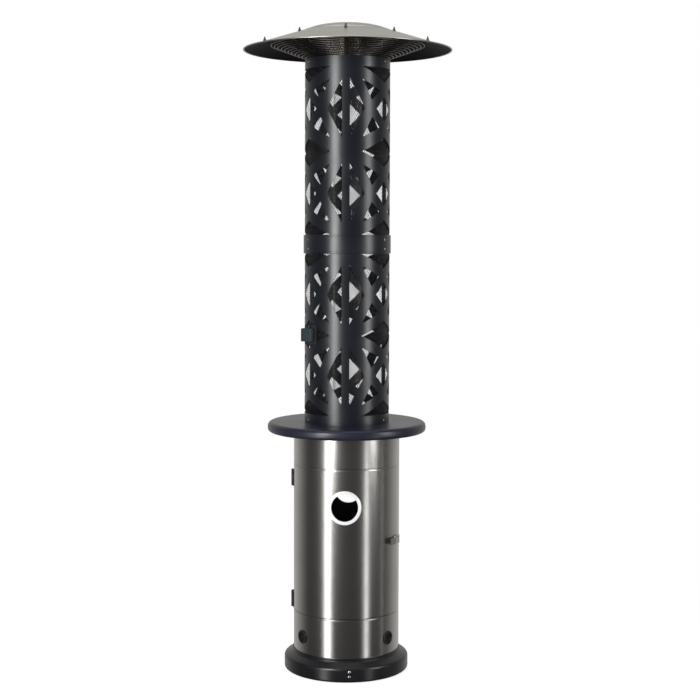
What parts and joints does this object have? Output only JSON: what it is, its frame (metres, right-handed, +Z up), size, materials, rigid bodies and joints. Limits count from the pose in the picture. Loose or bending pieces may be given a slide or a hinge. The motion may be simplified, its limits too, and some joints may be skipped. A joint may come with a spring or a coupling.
{
  "type": "outdoor heater",
  "caption": "Free-standing round gas patio heater: perforated column round a glass flame tube, dished reflector, waist table and steel bottle housing with a door.",
  "frame": {"origin": "on the ground under the centre of the base", "axes": "+Z up, the front with the door towards -Y, +X to the right seen from the front"},
  "size_m": [0.706, 0.706, 2.192],
  "materials": {
    "base_black": "satin black enamel",
    "galvanised": "plain zinc-plated sheet",
    "ballast": "rough cast",
    "rubber": "matt",
    "fastener": "plain",
    "housing_steel": "horizontally brushed",
    "trim_steel": "polished",
    "vent_plastic": "matt black",
    "dark_steel": "dark satin",
    "latch_steel": "bright plated",
    "table_coat": "satin dark powder coat",
    "control_plastic": "fine grained",
    "button_plastic": "glossy red",
    "insulator": "glazed",
    "gas_brass": "turned",
    "gas_copper": "drawn copper tube",
    "burner_steel": "heat-tinted",
    "seat_steel": "plain",
    "flame_glass": "clear",
    "mesh_black": "matt black woven wire",
    "sleeve_coat": "anthracite powder coat",
    "switch_plastic": "satin",
    "drum_steel": "bright perforated sheet",
    "guard_wire": "plated wire",
    "reflector_steel": "satin spun sheet"
  },
  "bodies": {
    "stand": {"base_cover": "base_black", "base_pan": "dark_steel", "base_weight": "ballast", "base_feet": "rubber", "base_bolts": "fastener", "body_shell": "housing_steel", "floor_plate": "galvanised", "vent_grommets": "vent_plastic", "rear_hole_ring": "trim_steel", "door_frame": "galvanised", "fixed_hinge_leaves": "dark_steel", "hinge_pins": "dark_steel", "latch_keeper": "latch_steel", "table_top": "table_coat", "table_brackets": "dark_steel", "table_screws": "fastener", "deck_plate": "galvanised", "control_panel": "control_plastic", "gas_valve": "gas_brass", "gas_inlet": "gas_brass", "gas_pipe": "gas_copper", "igniter_housing": "insulator", "burner_venturi": "gas_brass", "burner_cup": "burner_steel", "burner_head": "burner_steel", "pilot_tube": "gas_copper", "thermocouple": "seat_steel", "spark_electrode": "insulator", "glass_seat": "seat_steel", "glass_tube": "flame_glass", "glass_top_ring": "seat_steel", "lower_mesh": "mesh_black", "upper_mesh": "mesh_black", "lower_sleeve": "sleeve_coat", "upper_sleeve": "sleeve_coat", "joint_band": "sleeve_coat", "band_screws": "fastener", "top_plate": "sleeve_coat", "sleeve_screws": "fastener", "tilt_switch_box": "switch_plastic", "tilt_switch_bracket": "dark_steel", "flame_drum": "drum_steel", "guard_rings": "guard_wire", "guard_spokes": "guard_wire", "guard_stays": "guard_wire", "reflector_stays": "guard_wire", "reflector": "reflector_steel", "reflector_bolts": "fastener"},
    "door": {"door_panel": "housing_steel", "door_hole_ring": "trim_steel", "door_hinge_leaves": "dark_steel", "door_ribs": "galvanised", "latch_base": "latch_steel"},
    "latch_lever": {"latch_lever": "latch_steel"},
    "latch_bail": {"latch_bail": "latch_steel"},
    "valve_plunger": {"valve_plunger": "seat_steel"},
    "control_knob": {"control_knob": "control_plastic"},
    "igniter_button": {"igniter_button": "button_plastic"}
  },
  "joints": [
    {"name": "door_hinge", "type": "hinge", "parent": "stand", "child": "door", "pos_m": [-0.185, 0, 0.4435], "axis": [0, 0, -1], "range_deg": [0, 110]},
    {"name": "latch_lever_turn", "type": "hinge", "parent": "door", "child": "latch_lever", "pos_m": [0.17093, -0.07711, 0.455], "axis": [0, 0, 1], "range_deg": [0, 85]},
    {"name": "latch_bail_turn", "type": "hinge", "parent": "latch_lever", "child": "latch_bail", "pos_m": [0.16726, -0.08429, 0.455], "axis": [0, 0, 1], "range_deg": [-94, 0]},
    {"name": "knob_push", "type": "slide", "parent": "stand", "child": "valve_plunger", "axis": [0, -1, 0], "range_m": [0, 0.003], "stiffness_N_per_m": 700},
    {"name": "knob_turn", "type": "hinge", "parent": "valve_plunger", "child": "control_knob", "pos_m": [0, 0.195, 0.758], "axis": [0, 1, 0], "range_deg": [-180, 0]},
    {"name": "igniter_push", "type": "slide", "parent": "stand", "child": "igniter_button", "axis": [0, -1, 0], "range_m": [0, 0.005], "stiffness_N_per_m": 600}
  ],
  "couplings": [
    {"joint": "latch_bail_turn", "follows": "latch_lever_turn", "ratio": -1.1}
  ]
}
